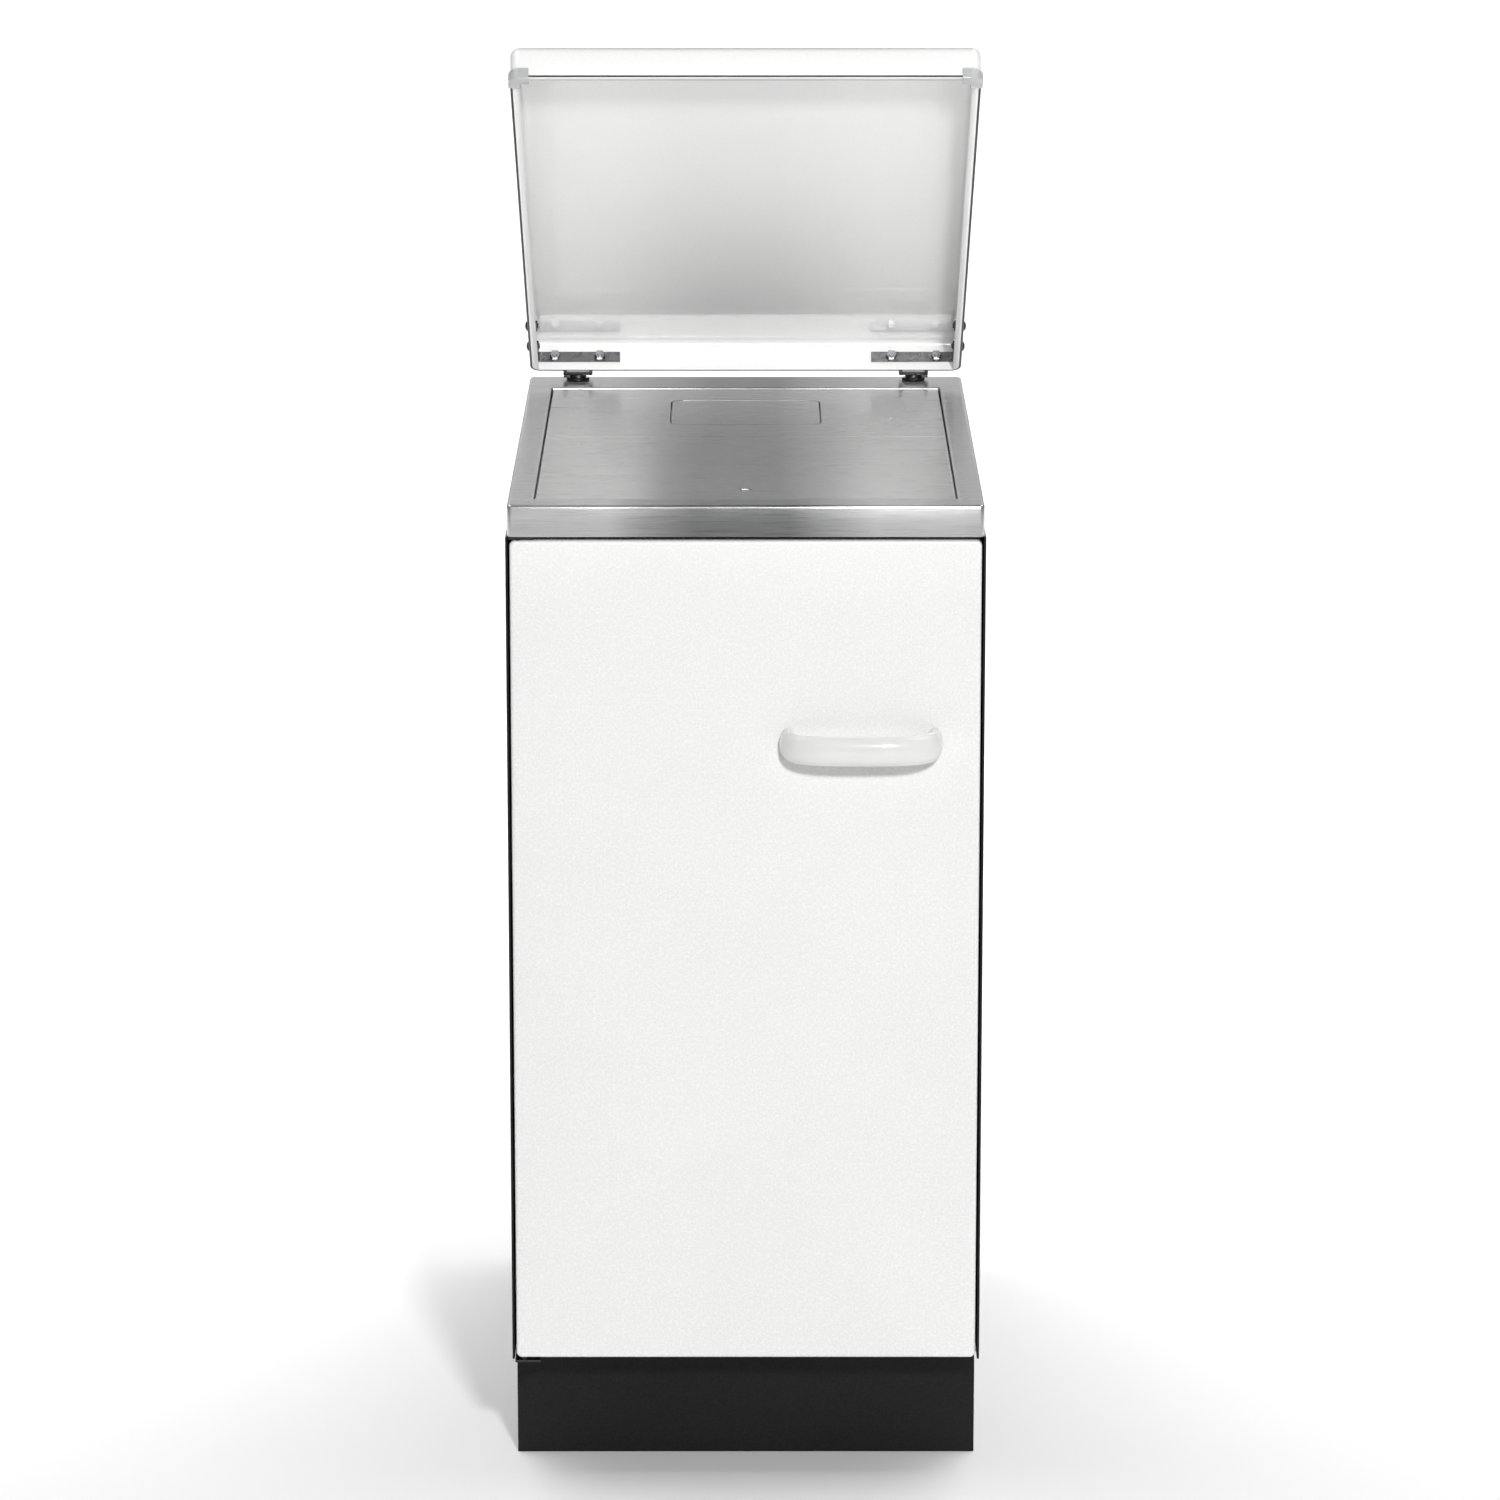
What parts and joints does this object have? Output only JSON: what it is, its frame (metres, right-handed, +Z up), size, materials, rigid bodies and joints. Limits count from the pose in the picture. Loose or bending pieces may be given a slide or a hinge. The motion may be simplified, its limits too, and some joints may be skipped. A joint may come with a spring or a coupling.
{
  "type": "solid-fuel side cooker",
  "caption": "Narrow free-standing solid-fuel cooker with a hinged lid over a steel hob, a full-height front door, firebox, ash pan, fuel drawer and rear flue spigot.",
  "frame": {"origin": "on the floor at the middle of the carcass footprint", "axes": "+X to the cooker's right seen from the front, +Y from the front door to the back panel, +Z up"},
  "size_m": [0.4, 0.684, 1.2157],
  "materials": {
    "white_enamel": "gloss",
    "black_enamel": "satin",
    "stainless_steel": "satin",
    "ground_steel": "satin",
    "cast_iron": "matte",
    "fireclay": "matte",
    "zinc_steel": "satin",
    "white_plastic": "gloss",
    "black_plastic": "satin",
    "grey_rubber": "matte"
  },
  "bodies": {
    "carcass": {"side_panel_left": "black_enamel", "side_panel_right": "black_enamel", "back_panel": "black_enamel", "base_plate": "black_enamel", "plinth": "black_enamel", "inner_front": "black_enamel", "top_frame": "stainless_steel", "stove_body": "cast_iron", "grate_frame": "cast_iron", "smoke_baffle": "cast_iron", "flue_collar": "cast_iron", "firebrick_left": "fireclay", "firebrick_right": "fireclay", "firebrick_rear": "fireclay", "foot_front_left": "zinc_steel", "foot_front_right": "zinc_steel", "foot_rear_left": "zinc_steel", "foot_rear_right": "zinc_steel", "drawer_rail_left": "zinc_steel", "drawer_rail_right": "zinc_steel", "door_hinge_lower": "zinc_steel", "door_hinge_upper": "zinc_steel", "hinge_post_left": "zinc_steel", "hinge_post_right": "zinc_steel", "magnet_catch": "white_plastic"},
    "lid": {"lid_shell": "white_enamel", "lid_bracket_left": "zinc_steel", "lid_bracket_right": "zinc_steel", "lid_hinge_leaf_left": "zinc_steel", "lid_hinge_leaf_right": "zinc_steel", "lid_bolt_rear_left_1": "zinc_steel", "lid_bolt_rear_left_2": "zinc_steel", "lid_bolt_rear_right_1": "zinc_steel", "lid_bolt_rear_right_2": "zinc_steel", "lid_bolt_side_left_1": "zinc_steel", "lid_bolt_side_left_2": "zinc_steel", "lid_bolt_side_right_1": "zinc_steel", "lid_bolt_side_right_2": "zinc_steel", "lid_buffer_left": "grey_rubber", "lid_buffer_right": "grey_rubber"},
    "front_door": {"door_skin": "white_enamel", "door_liner": "black_enamel", "door_handle": "white_plastic", "catch_plate": "zinc_steel"},
    "fire_door": {"fire_door": "cast_iron"},
    "fire_door_latch": {"fire_door_latch": "zinc_steel"},
    "ash_door": {"ash_door": "cast_iron"},
    "ash_door_latch": {"ash_door_latch": "zinc_steel"},
    "ash_pan": {"ash_pan": "zinc_steel"},
    "fuel_drawer": {"fuel_drawer": "black_enamel", "drawer_pull": "zinc_steel"},
    "grate": {"fire_grate": "cast_iron", "shaker_rod": "zinc_steel"},
    "damper": {"damper_plate": "cast_iron", "damper_rod": "zinc_steel"},
    "air_knob": {"air_knob": "black_plastic"},
    "air_flap": {"air_flap": "zinc_steel"},
    "hob_plate_front": {"hob_plate_front": "ground_steel"},
    "hob_plate_rear": {"hob_plate_rear": "ground_steel"},
    "cleaning_cover": {"cleaning_cover": "ground_steel"}
  },
  "joints": [
    {"name": "lid_hinge", "type": "hinge", "parent": "carcass", "child": "lid", "pos_m": [0, 0.282, 0.876], "axis": [-1, 0, 0], "range_deg": [-36, 60]},
    {"name": "front_door_hinge", "type": "hinge", "parent": "carcass", "child": "front_door", "pos_m": [-0.1895, -0.296, 0.4625], "axis": [0, 0, -1], "range_deg": [0, 115]},
    {"name": "fire_door_hinge", "type": "hinge", "parent": "carcass", "child": "fire_door", "pos_m": [-0.122, -0.2116, 0.67], "axis": [0, 0, -1], "range_deg": [0, 9.5]},
    {"name": "fire_door_latch_turn", "type": "hinge", "parent": "fire_door", "child": "fire_door_latch", "pos_m": [0.095, -0.2186, 0.67], "axis": [0, -1, 0], "range_deg": [0, 60]},
    {"name": "ash_door_hinge", "type": "hinge", "parent": "carcass", "child": "ash_door", "pos_m": [-0.138, -0.2116, 0.4275], "axis": [0, 0, -1], "range_deg": [0, 8.5]},
    {"name": "ash_door_latch_turn", "type": "hinge", "parent": "ash_door", "child": "ash_door_latch", "pos_m": [0.111, -0.2186, 0.4275], "axis": [0, -1, 0], "range_deg": [0, 60]},
    {"name": "ash_pan_slide", "type": "slide", "parent": "carcass", "child": "ash_pan", "axis": [0, -1, 0], "range_m": [0, 0.024]},
    {"name": "fuel_drawer_slide", "type": "slide", "parent": "carcass", "child": "fuel_drawer", "axis": [0, -1, 0], "range_m": [0, 0.049]},
    {"name": "grate_shake", "type": "slide", "parent": "carcass", "child": "grate", "axis": [0, -1, 0], "range_m": [0, 0.025]},
    {"name": "damper_pull", "type": "slide", "parent": "carcass", "child": "damper", "axis": [0, -1, 0], "range_m": [0, 0.045]},
    {"name": "air_knob_turn", "type": "hinge", "parent": "carcass", "child": "air_knob", "pos_m": [0.18, -0.217, 0.54], "axis": [0, 1, 0], "range_deg": [0, 120]},
    {"name": "air_flap_hinge", "type": "hinge", "parent": "carcass", "child": "air_flap", "pos_m": [0, 0.2353, 0.446], "axis": [1, 0, 0], "range_deg": [0, 40]},
    {"name": "hob_plate_front_lift", "type": "slide", "parent": "carcass", "child": "hob_plate_front", "axis": [0, 0, 1], "range_m": [0, 0.1]},
    {"name": "hob_plate_rear_lift", "type": "slide", "parent": "carcass", "child": "hob_plate_rear", "axis": [0, 0, 1], "range_m": [0, 0.06]},
    {"name": "cleaning_cover_lift", "type": "slide", "parent": "hob_plate_rear", "child": "cleaning_cover", "axis": [0, 0, 1], "range_m": [0, 0.04]}
  ],
  "couplings": [
    {"joint": "air_flap_hinge", "follows": "air_knob_turn", "ratio": 0.3333}
  ]
}
